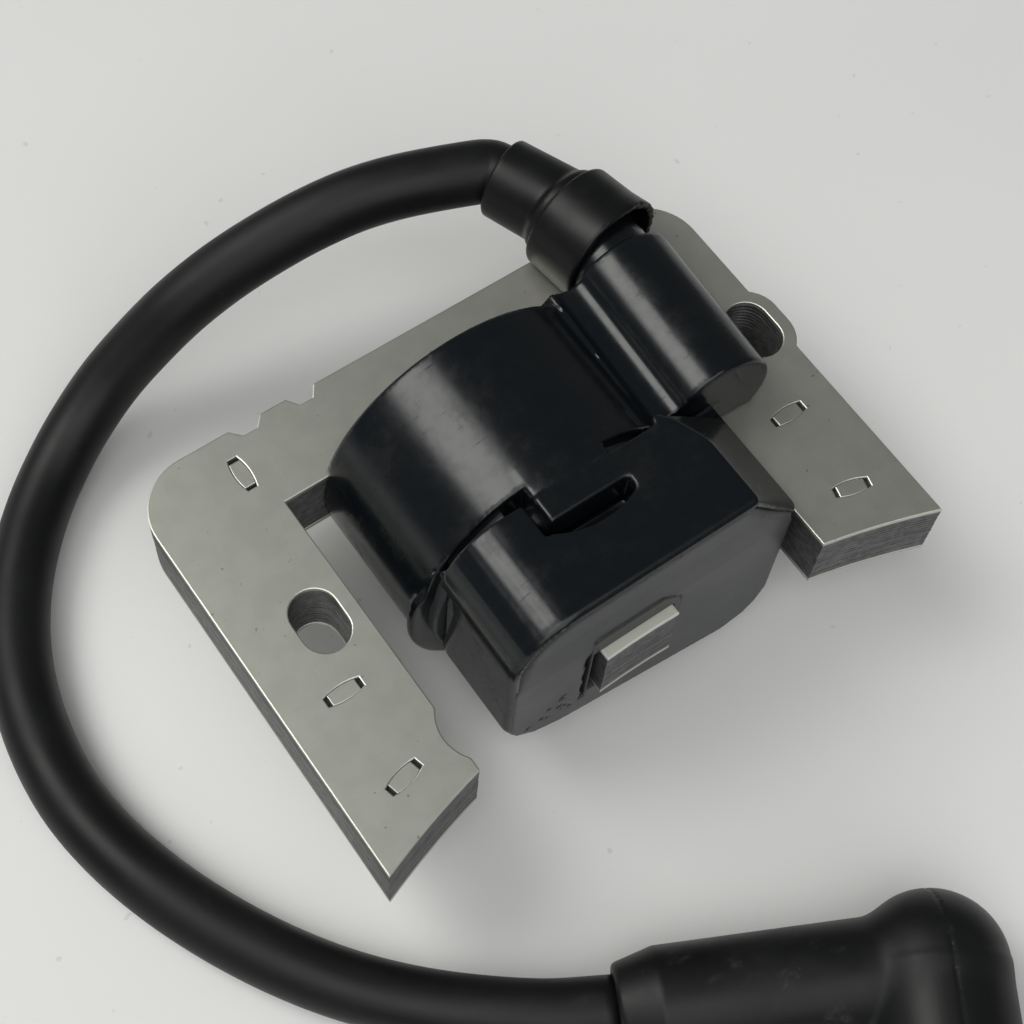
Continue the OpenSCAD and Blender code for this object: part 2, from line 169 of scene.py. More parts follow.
def blend_max(a, b, soft):
    """The larger of two fields, rounded in the same way."""
    return -blend_min(-a, -b, soft)


def polygon_field(u, v, corners):
    """Distance to a closed outline in a plane."""
    shape = np.broadcast(u, v).shape
    best = np.full(shape, 1e9)
    inside = np.zeros(shape, bool)
    for (u0, v0), (u1, v1) in zip(corners, corners[1:] + corners[:1]):
        du, dv = u1 - u0, v1 - v0
        along = np.clip(((u - u0) * du + (v - v0) * dv) / (du * du + dv * dv), 0, 1)
        best = np.minimum(best, (u - u0 - du * along) ** 2 + (v - v0 - dv * along) ** 2)
        if dv != 0:
            inside ^= ((v0 > v) != (v1 > v)) & (u < du * (v - v0) / dv + u0)
    return np.where(inside, -1, 1) * np.sqrt(best)


def slab(flat, t, low, high, soft):
    """A solid from a flat field, between low and high along t, with edges rounded by soft."""
    a = flat + soft
    b = np.maximum(low - t, t - high) + soft
    outside = np.sqrt(np.maximum(a, 0) ** 2 + np.maximum(b, 0) ** 2)
    return outside + np.minimum(np.maximum(a, b), 0) - soft


def brick(x, y, z, low, high, soft):
    """A box between two corners, with edges rounded by soft."""
    gaps = [np.maximum(l - t, t - h) + soft for t, l, h in zip((x, y, z), low, high)]
    outside = np.sqrt(sum(np.maximum(g, 0) ** 2 for g in gaps))
    inside = np.minimum(np.maximum(np.maximum(gaps[0], gaps[1]), gaps[2]), 0)
    return outside + inside - soft


def gradient(field, points, step=0.02):
    """The field's slope at each point, from its values a step to either side."""
    slope = np.empty_like(points)
    for i in range(3):
        shift = np.zeros(3)
        shift[i] = step
        slope[:, i] = field(*(points + shift).T) - field(*(points - shift).T)
    return slope / (2 * step)


def field_mesh(name, field, low, high, step):
    """The surface where a field is zero, as quads: one vertex in each cell that it crosses."""
    axes = [np.arange(l, h + step, step) for l, h in zip(low, high)]
    values = field(*np.meshgrid(*axes, indexing="ij", sparse=True))
    inside = values < 0
    size = np.array(inside.shape) - 1
    count = np.zeros(size, np.int8)
    middle = np.zeros(tuple(size) + (3,), np.float32)
    crossings = np.zeros(size, np.int8)
    for i in (0, 1):
        for j in (0, 1):
            for k in (0, 1):
                count += inside[i:size[0] + i, j:size[1] + j, k:size[2] + k]
    for axis in range(3):
        first = [slice(None)] * 3
        second = [slice(None)] * 3
        first[axis] = slice(0, -1)
        second[axis] = slice(1, None)
        a, b = values[tuple(first)], values[tuple(second)]
        crossed = (a < 0) != (b < 0)
        part = np.where(crossed, a / np.where(crossed, a - b, 1), 0)
        others = [i for i in range(3) if i != axis]
        for i in (0, 1):
            for j in (0, 1):
                pick = [slice(None)] * 3
                pick[others[0]] = slice(i, size[others[0]] + i)
                pick[others[1]] = slice(j, size[others[1]] + j)
                hit = crossed[tuple(pick)]
                crossings += hit
                middle[..., axis] += part[tuple(pick)]
                middle[..., others[0]] += i * hit
                middle[..., others[1]] += j * hit
    active = (count > 0) & (count < 8)
    index = np.full(active.shape, -1, np.int64)
    index[active] = np.arange(active.sum())
    cells = np.argwhere(active)
    start = np.array([a[0] for a in axes])
    within = middle[active] / np.maximum(crossings[active], 1)[:, None]
    home = start + (cells + 0.5) * step
    points = start + (cells + within) * step
    for _ in range(5):
        slope = gradient(field, points)
        length = np.maximum((slope ** 2).sum(1), 0.05)
        points = points - (field(*points.T) / length)[:, None] * slope
        points = np.clip(points, home - 0.8 * step, home + 0.8 * step)
    quads = []
    for axis in range(3):
        u, v = (axis + 1) % 3, (axis + 2) % 3
        lead = np.moveaxis(inside, (axis, u, v), (0, 1, 2))
        cell = np.moveaxis(index, (axis, u, v), (0, 1, 2))
        change = lead[:-1, 1:-1, 1:-1] != lead[1:, 1:-1, 1:-1]
        i, j, k = np.nonzero(change)
        ring = np.stack([cell[i, j, k], cell[i, j + 1, k], cell[i, j + 1, k + 1], cell[i, j, k + 1]], 1)
        turned = ~lead[i, j + 1, k + 1]
        ring[turned] = ring[turned][:, ::-1]
        quads.append(ring)
    return make_mesh(name, points, np.concatenate(quads))


def make_mesh(name, points, faces, smooth=True):
    """An object from points in the core frame and faces, which are lists or rows of one length."""
    mesh = bpy.data.meshes.new(name)
    places = (np.asarray(points, float) + ORIGIN) * MM
    if isinstance(faces, np.ndarray):
        width = faces.shape[1]
        mesh.vertices.add(len(places))
        mesh.vertices.foreach_set("co", places.ravel())
        mesh.loops.add(faces.size)
        mesh.loops.foreach_set("vertex_index", faces.ravel().astype(np.int32))
        mesh.polygons.add(len(faces))
        mesh.polygons.foreach_set("loop_start", np.arange(0, faces.size, width, dtype=np.int32))
        mesh.update(calc_edges=True)
    else:
        mesh.from_pydata([tuple(p) for p in places], [], faces)
    mesh.validate()
    mesh.polygons.foreach_set("use_smooth", [smooth] * len(mesh.polygons))
    piece = bpy.data.objects.new(name, mesh)
    bpy.context.scene.collection.objects.link(piece)
    return piece


def settle(piece, material, slot, *nodes):
    """Gives a piece its material and its body, and hides the nodes that it stands for; its slot is not
    used.
    """
    piece.data.materials.clear()
    piece.data.materials.append(material)
    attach(piece, "root")
    if nodes:
        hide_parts(*nodes)
    return piece


# ---------------------------------------------------------------- materials

class Nodes:
    """A short way to build a material's nodes. Noise scales are per metre of the object's space."""

    def __init__(self, name):
        self.material = bpy.data.materials.new(name)
        self.material.use_nodes = True
        self.tree = self.material.node_tree
        self.shader = self.tree.nodes["Principled BSDF"]
        self.place = self.tree.nodes.new("ShaderNodeTexCoord").outputs["Object"]

    def add(self, kind, inputs=(), **settings):
        node = self.tree.nodes.new(kind)
        for key, value in settings.items():
            setattr(node, key, value)
        for key, value in dict(inputs).items():
            self.put(node.inputs[key], value)
        return node

    def put(self, socket, value):
        if isinstance(value, bpy.types.NodeSocket):
            self.tree.links.new(value, socket)
        else:
            socket.default_value = value

    def noise(self, scale, detail=3.0, rough=0.55, place=None):
        node = self.add("ShaderNodeTexNoise", {
            "Vector": place or self.place, "Scale": scale, "Detail": detail, "Roughness": rough})
        return node.outputs["Fac"]

    def stretched(self, scale):
        return self.add("ShaderNodeMapping", {"Vector": self.place, "Scale": scale}).outputs["Vector"]

    def ramp(self, value, low, high, first=0.0, last=1.0):
        node = self.add("ShaderNodeMapRange", {
            "Value": value, "From Min": low, "From Max": high, "To Min": first, "To Max": last})
        node.interpolation_type = "SMOOTHSTEP"
        return node.outputs["Result"]

    def sum(self, a, b, kind="ADD"):
        return self.add("ShaderNodeMath", {0: a, 1: b}, operation=kind).outputs[0]

    def mix(self, factor, a, b):
        node = self.add("ShaderNodeMix", data_type="RGBA")
        self.put(node.inputs["Factor"], factor)
        self.put(node.inputs[6], a)
        self.put(node.inputs[7], b)
        return node.outputs[2]

    def bump(self, height, depth_mm, normal=None):
        inputs = {"Height": height, "Distance": depth_mm * MM, "Strength": 1.0}
        if normal is not None:
            inputs["Normal"] = normal
        return self.add("ShaderNodeBump", inputs).outputs["Normal"]

    def finish(self, **values):
        for key, value in values.items():
            self.put(self.shader.inputs[key.replace("_", " ")], value)
        return self.material


# Colours: greys by level, with an olive or a cool cast

def grey(level, tint=(1.0, 1.0, 1.0)):
    return (level * tint[0], level * tint[1], level * tint[2], 1.0)


OLIVE = (1.0, 1.01, 0.9)
COOL = (0.93, 0.98, 1.03)


def sheet_material():
    """Dull zinc-grey sheet: finely mottled, with short scratches, a few tiny pits and a painted highlight
    on the middle leg's end.
    """
    n = Nodes("zinc_sheet")
    mottle = n.ramp(n.noise(420, 5), 0.35, 0.65)
    cloud = n.ramp(n.noise(16, 2), 0.3, 0.7)
    pit = n.ramp(n.noise(1300, 1, 0.3), 0.77, 0.8)
    scratch = n.ramp(n.noise(90, 2, 0.5, n.stretched((14, 1.2, 1))), 0.72, 0.76)
    base = n.mix(mottle, grey(0.55, OLIVE), grey(0.575, OLIVE))
    base = n.mix(n.sum(cloud, 0.1, "MULTIPLY"), base, grey(0.5, OLIVE))
    base = n.mix(n.sum(scratch, 0.15, "MULTIPLY"), base, grey(0.7))
    base = n.mix(n.sum(pit, 0.45, "MULTIPLY"), base, grey(0.08))
    rough = n.ramp(mottle, 0, 1, 0.4, 0.41)
    normal = n.bump(n.noise(1500, 3), 0.002)
    # Painted highlight: the top of the middle leg's front end is painted lighter and less metallic, where
    # light falls on it
    at = n.add("ShaderNodeSeparateXYZ", {0: n.place}).outputs
    side = n.ramp(n.sum(n.sum(at["X"], ORIGIN[0] * MM, "SUBTRACT"), 0.0, "ABSOLUTE"), 0.006, 0.007, 1, 0)
    stub_top_painted_light = n.sum(side, n.ramp(at["Y"], (ORIGIN[1] - 47) * MM, (ORIGIN[1] - 46) * MM, 1, 0), "MULTIPLY")
    stub_top_painted_light = n.sum(stub_top_painted_light, n.ramp(at["Z"], MID_Z * MM, (MID_Z + 1) * MM), "MULTIPLY")
    base = n.mix(stub_top_painted_light, base, grey(0.78, OLIVE))
    metal = n.ramp(stub_top_painted_light, 0, 1, 0.9, 0.25)
    return n.finish(Base_Color=base, Roughness=rough, Metallic=metal, Normal=normal)


def stack_material():
    """Punched sheet edges: darker than the faces, with shear marks and a dark line at each joint."""
    n = Nodes("stack_sheet")
    height = n.add("ShaderNodeSeparateXYZ", {0: n.place}).outputs["Z"]
    turn = n.sum(n.sum(height, BOTTOM * MM, "SUBTRACT"), 1 / (SHEET_T * MM), "MULTIPLY")
    across = n.sum(n.sum(turn, 1.0, "FRACT"), 0.5, "SUBTRACT")
    joint = n.ramp(n.sum(across, 0.0, "ABSOLUTE"), 0.36, 0.5)
    shear = n.noise(900, 3, 0.6)
    stain = n.ramp(n.noise(90, 4), 0.35, 0.7)
    base = n.mix(n.ramp(shear, 0.35, 0.65), grey(0.1), grey(0.17))
    base = n.mix(n.sum(stain, 0.35, "MULTIPLY"), base, grey(0.07))
    base = n.mix(n.sum(joint, 0.9, "MULTIPLY"), base, grey(0.015))
    normal = n.bump(shear, 0.03)
    return n.finish(Base_Color=base, Roughness=0.42, Metallic=0.7, Normal=normal)


def case_material():
    """Glossy black moulding: slight waviness, fine dark scratches across its shine, a little dust."""
    n = Nodes("case_black")
    scuff = n.ramp(n.noise(140, 5, 0.65), 0.45, 0.75)
    hair = n.ramp(n.noise(110, 2, 0.5, n.stretched((1, 26, 6))), 0.66, 0.72)
    grain = n.ramp(n.noise(700, 3, 0.6), 0.4, 0.7)
    base = n.mix(n.sum(scuff, 0.3, "MULTIPLY"), (0.0036, 0.0054, 0.007, 1), grey(0.012, COOL))
    rough = n.sum(n.ramp(scuff, 0, 1, 0.2, 0.3), n.sum(hair, 0.05, "MULTIPLY"))
    rough = n.sum(rough, n.sum(grain, 0.05, "MULTIPLY"))
    shine = n.sum(n.sum(hair, -0.12, "MULTIPLY"), 0.45)
    normal = n.bump(n.noise(110, 2), 0.014)
    normal = n.bump(n.noise(1600, 3), 0.003, normal)
    return n.finish(Base_Color=base, Roughness=rough, Normal=normal, Specular_IOR_Level=shine)


def potting_material():
    """Cast epoxy: dark, satin, with small bubbles that are painted darker for the shade inside them."""
    n = Nodes("potting_black")
    cloud = n.ramp(n.noise(60, 4), 0.3, 0.7)
    bubble_and_shade = n.ramp(n.noise(1100, 2, 0.5), 0.68, 0.75)
    base = n.mix(cloud, grey(0.036, COOL), grey(0.05, COOL))
    # Painted shade: the bubbles are painted near-black for the shade inside them, and the bump below dents
    # them
    base = n.mix(n.sum(bubble_and_shade, 0.6, "MULTIPLY"), base, grey(0.008))
    rough = n.ramp(cloud, 0, 1, 0.36, 0.46)
    normal = n.bump(bubble_and_shade, -0.03)
    normal = n.bump(n.noise(150, 3), 0.015, normal)
    return n.finish(Base_Color=base, Roughness=rough, Normal=normal)


def rubber_material(name, level, rough_low, rough_high, dusty, dust_at=None):
    """Black rubber with dust; round dust_at, a place in the row frame, it is scuffed and dustier."""
    n = Nodes(name)
    cloud = n.ramp(n.noise(70, 5, 0.6), 0.35, 0.7)
    dust = n.ramp(n.noise(260, 6, 0.7), 0.52, 0.78)
    streak = n.ramp(n.noise(45, 4, 0.6, n.stretched((1, 5, 5))), 0.5, 0.75)
    base = n.mix(cloud, grey(level, COOL), grey(level * 1.5, COOL))
    haze = n.sum(n.sum(dust, streak, "MULTIPLY"), dusty, "MULTIPLY")
    if dust_at is not None:
        spot = tuple(c * MM for c in dust_at)
        away = n.add("ShaderNodeVectorMath", {0: n.place, 1: spot}, operation="DISTANCE").outputs["Value"]
        near = n.ramp(away, 0.006, 0.024, 1.0, 0.25)
        haze = n.sum(haze, near, "MULTIPLY")
    base = n.mix(haze, base, grey(0.14))
    rough = n.ramp(cloud, 0, 1, rough_low, rough_high)
    normal = n.bump(n.noise(900, 4), 0.008)
    normal = n.bump(n.noise(90, 2), 0.02, normal)
    return n.finish(Base_Color=base, Roughness=rough, Normal=normal, Specular_IOR_Level=0.3)


def plain_material(name, colour, rough, metallic=0.0, grain=600):
    """A hidden part's finish: its colour with a fine grain."""
    n = Nodes(name)
    shade = tuple(c * 0.8 for c in colour[:3]) + (1.0,)
    base = n.mix(n.ramp(n.noise(grain, 3), 0.35, 0.65), colour, shade)
    normal = n.bump(n.noise(grain, 3), 0.01)
    return n.finish(Base_Color=base, Roughness=rough, Metallic=metallic, Normal=normal)


def wire_material():
    """Turns of enamelled copper wire, laid round the core's leg."""
    n = Nodes("copper_wire")
    turns = n.add("ShaderNodeTexWave", {"Vector": n.place, "Scale": 900.0}, bands_direction="Y")
    base = n.mix(turns.outputs["Fac"], (0.25, 0.07, 0.02, 1), (0.72, 0.3, 0.12, 1))
    normal = n.bump(turns.outputs["Fac"], 0.1)
    return n.finish(Base_Color=base, Roughness=0.35, Metallic=0.8, Normal=normal)


def floor_material():
    """Plain white card with a few specks of dirt."""
    n = Nodes("floor_white")
    cloud = n.ramp(n.noise(9, 3), 0.3, 0.7)
    base = n.mix(cloud, (0.8, 0.8, 0.79, 1), (0.825, 0.825, 0.815, 1))
    speck = n.ramp(n.noise(420, 2, 0.4), 0.74, 0.77)
    base = n.mix(n.sum(speck, 0.25, "MULTIPLY"), base, (0.35, 0.35, 0.35, 1))
    return n.finish(Base_Color=base, Roughness=0.45)


# ---------------------------------------------------------------- the laminated core

def arc(cx, cy, radius, first, last, count):
    """Points on a circle from one angle to another, in degrees."""
    turn = [math.radians(first + (last - first) * i / count) for i in range(count + 1)]
    return [(cx + radius * math.cos(t), cy + radius * math.sin(t)) for t in turn]


def pole_curve(x0, x1, count):
    """Points on the pole circle from x0 to x1."""
    centre = -POLE_Y - POLE_R
    xs = [x0 + (x1 - x0) * i / count for i in range(count + 1)]
    return [(x, centre + math.sqrt(POLE_R ** 2 - x * x)) for x in xs]


def notch(cx, half_top, half_floor, depth):
    """A dip in the back edge, walked from right to left."""
    return [(cx + half_top, 0), (cx + half_floor, -depth), (cx - half_floor, -depth), (cx - half_top, 0)]


def core_outline():
    """The E sheet's outer edge, anticlockwise from above, starting at the left leg's pole."""
    half, inner, stub = CORE_W / 2, CORE_W / 2 - LEG_W, MID_W / 2
    bulge = SLOT_W / 2 + SLOT_WALL
    sx, sy = SLOT_RIGHT
    run = (SLOT_L - SLOT_W) / 2
    lean = math.degrees(math.acos((half - sx) / bulge))
    scoop = (-inner + 4.4, -47.0, 5.65)
    dip = math.degrees(math.acos(4.4 / 5.65))
    edge = pole_curve(-half, -inner, 8)
    edge += arc(*scoop, 180 + dip, 180 - dip, 10)
    edge += [(-inner, -YOKE_D), (-stub, -YOKE_D)]
    edge += pole_curve(-stub, stub, 3)
    edge += [(stub, -YOKE_D), (inner, -YOKE_D)]
    edge += pole_curve(inner, half, 8)
    edge += arc(sx, sy - run, bulge, -lean, 0, 10) + arc(sx, sy + run, bulge, 0, lean, 10)
    edge += arc(half - CORNER_R, -CORNER_R, CORNER_R, 0, 90, 16)
    edge += notch(-15.5, 2.0, 0.9, 1.6) + notch(-23.4, 2.25, 0.95, 1.45)
    edge += arc(-half + CORNER_R, -CORNER_R, CORNER_R, 90, 180, 16)
    return edge


def slot_outline(centre):
    """A slot's edge, clockwise from above."""
    run = (SLOT_L - SLOT_W) / 2
    r = SLOT_W / 2
    return arc(centre[0], centre[1] - run, r, 0, -180, 16) + arc(centre[0], centre[1] + run, r, 180, 0, 16)


def lug_shape(length, width, blunt, count=6):
    """A long barrel: bowed long sides between blunt ends, anticlockwise."""
    half, low = length / 2, width * blunt / 2
    bow = [(half - 2 * half * i / count, 0) for i in range(count + 1)]
    rise = [low + (width / 2 - low) * (1 - (x / half) ** 2) for x, _ in bow]
    upper = [(x, r) for (x, _), r in zip(bow, rise)]
    return upper + [(-x, -y) for x, y in upper]


def place_shape(shape, x, y, degrees, flip=False):
    """The shape turned and moved to its place; flip turns its direction round, as a hole needs."""
    c, s = math.cos(math.radians(degrees)), math.sin(math.radians(degrees))
    moved = [(x + u * c - v * s, y + u * s + v * c) for u, v in shape]
    return moved[::-1] if flip else moved


def inset(loop, amount):
    """The same loop, moved to its left by amount: into the sheet for every loop here."""
    p = np.array(loop)
    before, after = np.roll(p, 1, 0), np.roll(p, -1, 0)
    a = p - before
    b = after - p
    a /= np.linalg.norm(a, axis=1)[:, None] + 1e-9
    b /= np.linalg.norm(b, axis=1)[:, None] + 1e-9
    normal = np.stack([-(a + b)[:, 1], (a + b)[:, 0]], 1)
    normal /= np.linalg.norm(normal, axis=1)[:, None] + 1e-9
    across = np.maximum((normal * np.stack([-a[:, 1], a[:, 0]], 1)).sum(1), 0.4)
    return p + normal * (amount / across)[:, None]


def without_doubles(loop):
    """The loop less the points that fall on the one before."""
    return [p for i, p in enumerate(loop) if math.dist(p, loop[i - 1]) > 1e-4]


def plate(loops, low, high, edge, rise, points, faces):
    """Adds one sheet: a flat solid between two heights with small bevels round its loops."""
    rings = ((low, edge), (low + rise, 0.0), (high - rise, 0.0), (high, edge))
    layers = []
    for z, draw in rings:
        layer = []
        for loop in loops:
            start = len(points)
            points.extend((x, y, z) for x, y in (inset(loop, draw) if draw else loop))
            layer.append(list(range(start, start + len(loop))))
        layers.append(layer)
    for below, above in zip(layers, layers[1:]):
        for a, b in zip(below, above):
            for i in range(len(a)):
                j = (i + 1) % len(a)
                faces.append([a[i], a[j], b[j], b[i]])
    flat = [i for loop in layers[3] for i in loop]
    under = [i for loop in layers[0] for i in loop]
    outline = [[Vector((points[i][0], points[i][1], 0)) for i in loop] for loop in layers[3]]
    for a, b, c in tessellate_polygon(outline):
        pa, pb, pc = (points[flat[i]] for i in (a, b, c))
        area = (pb[0] - pa[0]) * (pc[1] - pa[1]) - (pb[1] - pa[1]) * (pc[0] - pa[0])
        if area < 0:
            b, c = c, b
        faces.append([flat[a], flat[b], flat[c]])
        faces.append([under[c], under[b], under[a]])


def jitter(loops, rng, amount):
    """Moves a whole sheet a little, as stacked sheets lie."""
    dx, dy = rng.uniform(-amount, amount, 2)
    return [[(x + dx, y + dy) for x, y in loop] for loop in loops]


def build_core(sheet, stack):
    """The inner laminations as one piece, then the top and the bottom one with their lugs."""
    plain = [core_outline(), slot_outline(SLOT_LEFT), slot_outline(SLOT_RIGHT)]
    plain = [without_doubles(loop) for loop in plain]
    holes = [place_shape(lug_shape(LUG_L, LUG_W, 0.62), *lug, flip=True) for lug in LUGS]
    rng = np.random.default_rng(3)
    points, faces = [], []
    for i in range(1, SHEETS - 1):
        low = BOTTOM + i * SHEET_T
        edge = 0.07 + 0.03 * rng.random()
        plate(jitter(plain, rng, 0.035), low + 0.005, low + SHEET_T - 0.005, edge, edge, points, faces)
    settle(make_mesh("core_laminations", points, faces, False), stack, "stack_sheet", "core_stack")
    lug = lug_shape(LUG_L - 1.1, LUG_W - 0.07, 0.76)
    for name, node, low, up in (
        ("top_lamination", "core_top_sheet", TOP - SHEET_T, 1),
        ("bottom_lamination", "core_bottom_sheet", BOTTOM, -1),
    ):
        points, faces = [], []
        plate(plain + holes, low, low + SHEET_T, 0.13, 0.055, points, faces)
        for x, y, degrees in LUGS:
            lift = low + (SHEET_T - 0.1 if up > 0 else 0.1)
            shape = [place_shape(lug, x, y, degrees)]
            ends = (low, lift) if up > 0 else (lift, low + SHEET_T)
            plate(shape, *ends, 0.1, 0.05, points, faces)
        settle(make_mesh(name, points, faces, False), sheet, "zinc_sheet", node)


# ---------------------------------------------------------------- the moulded case

def box_outline():
    """The front box seen from the poles, in X and Z."""
    left, right, corner = -17.8, 23.4, 8.2
    curve = arc(left + corner, ROOF - corner, corner, 180, 90, 12)
    keel = [(23.4, 8.5), (22.2, 5.2), (20.4, 3.2), (16.6, 2.2), (-9.8, 8.2), (-14, 10.2), (-16.9, 13.0),
            (-17.8, 15.4)]
    return curve + [(15.6, ROOF), (right, 29.4)] + keel


OUTLINE = box_outline()


def drum_field(x, y, z):
    """The drum, its lip at the front and its tongue over the box."""
    zc = z - DRUM_Z
    radial = np.sqrt(x * x + zc * zc) - DRUM_R
    drum = slab(radial, y, DRUM_FRONT, DRUM_BACK, 0.5)
    neck = slab(radial + 3.2, y, DRUM_FRONT - 4, DRUM_FRONT + 2, 0.3)
    # A lip round the lower left of its front edge
    lip = slab(radial - 0.95, y, DRUM_FRONT - 0.3, DRUM_FRONT + 0.8, 0.45)
    lip = blend_max(lip, np.maximum(x + 13, z - 26.5), 2.2)
    # The shell runs on over the box as a tongue in the middle, and to the right of it
    tongue = slab(radial, y, TONGUE_FRONT, DRUM_FRONT + 3, 0.7)
    tongue = blend_max(tongue, np.maximum(TONGUE_LEFT - x, x - 12.0), 0.8)
    tongue = np.maximum(tongue, DRUM_Z + 8 - z)
    return blend_min(blend_min(drum, lip, 0.8), np.minimum(neck, tongue), 0.3)


def box_field(x, y, z):
    """The front box, with its knob, facet, dent and side cut."""
    flat = polygon_field(x, z, OUTLINE)
    box = blend_max(flat, BOX_FRONT - y, 1.5)
    box = blend_max(box, y - BOX_BACK, 0.5)
    # A rounded knob on the roof's rear edge, beside the web
    knob = polygon_field(x, y, [(10.8, -35.0), (11.4, -33.2), (12.1, -32.5), (12.9, -32.5), (14.4, -35.0)])
    knob = blend_max(knob, np.maximum(z - ROOF, 30 - z), 0.5)
    box = blend_min(box, knob, 0.4)
    # The corner facet beside the tower
    facet = (x - 15.6) * 0.68 + (y + 38.55) * 0.27 + (z - ROOF) * 0.685
    box = blend_max(box, facet, 0.3)
    # The three-cornered dent in the front's right edge
    dent = np.sqrt(((x - 24.4) / 3.4) ** 2 + ((y + 49.0) / 2.8) ** 2 + ((z - 24.3) / 5.2) ** 2)
    box = blend_max(box, (1 - dent) * 2.4, 0.5)
    # Below the roof the box runs back to the drum, with a slanting cut at its left side
    root = np.maximum(np.maximum(flat, z - SHOULDER), np.maximum(y - DRUM_FRONT - 0.5, -40 - y))
    box = np.minimum(box, root)
    run = DRUM_FRONT - y
    slant = x + 16.0 + 1.8 * run / (3.7 + 0.2 * np.clip(z - 17, 0, 16))
    slant = np.maximum(np.maximum(slant, -run - 0.2), z - 31.6)
    return blend_max(box, -slant, 0.2)


def leaned(x, y):
    """X and Y in the tower's frame, which leans a little to the right about its front end."""
    c, t = math.cos(TOWER_TURN), math.sin(TOWER_TURN)
    dx, dy = x - TOWER[0], y - TOWER_FRONT
    return TOWER[0] + dx * c - dy * t, TOWER_FRONT + dx * t + dy * c


def tower_field(x, y, z):
    """The tower for the lead, its bore, and the web that joins it to the drum."""
    x, y = leaned(x, y)
    u, v = x - TOWER[0], z - TOWER[1]
    radial = np.sqrt(u * u + v * v)
    barrel = slab(radial - TOWER_R, y, TOWER_FRONT, TOWER_BACK, 0.5)
    spigot = slab(radial - SPIGOT_R, y, TOWER_BACK - 1, SPIGOT_BACK, 0.3)
    tower = np.minimum(barrel, spigot)
    bore = np.maximum(radial - LEAD_D / 2 - 0.1, BORE_END - y)
    # The web: a hollow fillet between the drum and the tower
    web = polygon_field(x, z, [(0, DRUM_Z), TOWER, FILLET])
    web = np.maximum(web, FILLET_R - np.hypot(x - FILLET[0], z - FILLET[1]))
    web = np.maximum(web, np.maximum(TOWER_FRONT - y, y - TOWER_BACK + 0.6))
    return tower, bore, web


def pocket(x, y, z):
    """The dark well in the roof: a narrow link, then a bowl in front of the tongue."""
    left = TONGUE_LEFT - LINK_W
    link = brick(x, y, z, (left, TONGUE_FRONT - 1.1, 20), (TONGUE_LEFT, DRUM_FRONT, 60), 0.4)
    bowl = np.maximum(np.hypot(x, y - TONGUE_FRONT - BOWL_R + 2.8) - BOWL_R, y - TONGUE_FRONT)
    bowl = blend_max(bowl, np.maximum(left - x, x - 5.2), 0.5)
    return blend_max(np.minimum(link, bowl), ROOF - POCKET_DEPTH - z, 0.4)


def case_field(x, y, z):
    """The whole moulding, less the room for the core and the well for the epoxy."""
    body = blend_min(drum_field(x, y, z), box_field(x, y, z), 0.3)
    # Cuts that set the box off from the drum
    radial = np.hypot(x, z - DRUM_Z) - DRUM_R
    groove = np.maximum(np.abs(y - GROOVE_Y) - 0.85, np.maximum(x - TONGUE_LEFT, SHOULDER - z))
    groove = np.maximum(groove, -radial - 2.6)
    cuts = pocket(x, y, z)
    slot = np.maximum(np.abs(y - GROOVE_Y + 0.05) - 0.8, np.maximum(np.abs(x - 8.6) - 3.0, 33 - z))
    body = blend_max(body, -np.minimum(cuts, np.minimum(groove, slot)), 0.45)
    tower, bore, web = tower_field(x, y, z)
    body = blend_min(np.minimum(body, web), tower, 0.3)
    body = blend_max(body, -bore, 0.2)
    # Room for the core: over the right leg and the yoke, and round the middle leg
    seat = np.maximum(z - TOP - 0.1, np.maximum(CORE_W / 2 - LEG_W - 0.2 - x, -60 - y))
    yoke = np.maximum(z - TOP - 0.1, -YOKE_D - 0.2 - y)
    body = blend_max(body, -np.minimum(seat, yoke), 0.15)
    way = np.maximum(np.abs(x), np.abs(z - MID_Z)) - LEG_ROOM
    body = np.maximum(body, -way)
    # The potting's well at the front, with a thin rim round it
    well = slab(polygon_field(x, z, OUTLINE) + 0.9, y, -60, -46.5, 0.3)
    body = blend_max(body, -well, 0.25)
    return np.maximum(body, -z)


def potting_field(x, y, z):
    """The epoxy that fills the box and the drum, with its bubbled face at the front."""
    flat = polygon_field(x, z, OUTLINE)
    # The face stands back from the rim under the roof, and is level with it elsewhere
    under = np.clip((z - 27) / 6, 0, 1)
    gap = 0.5 + 1.11 * under
    rim = np.clip(flat + gap + 1.3, 0, 1.3)
    surface = BOX_FRONT - 0.04 + 0.38 * under + (0.02 + 0.3 * under) * rim * rim
    box = np.maximum(flat + gap, np.maximum(surface - y, y - BOX_BACK + 1))
    drum = np.maximum(np.hypot(x, z - DRUM_Z) - DRUM_R + 1.6, np.maximum(BOX_BACK - y, y - DRUM_BACK + 1))
    body = np.minimum(blend_max(box, surface - y, 0.4), drum)
    body = np.maximum(body, 1.2 - pocket(x, y, z))
    way = np.maximum(np.abs(x), np.abs(z - MID_Z)) - LEG_ROOM + 0.05
    body = np.maximum(body, -way)
    # The dark, broken gap between the tube and the epoxy at the leg's left and lower left
    rough = 0.14 * np.sin(1.7 * z) + 0.06 * np.sin(3.9 * z + 1)
    crack = np.maximum(np.abs(x + 6.75) - 0.36 - rough, np.maximum(np.abs(z - MID_Z + 1) - 6.6, y + 45))
    body = np.maximum(body, -crack)
    return blend_max(body, -pits(x, y, z), 0.12)


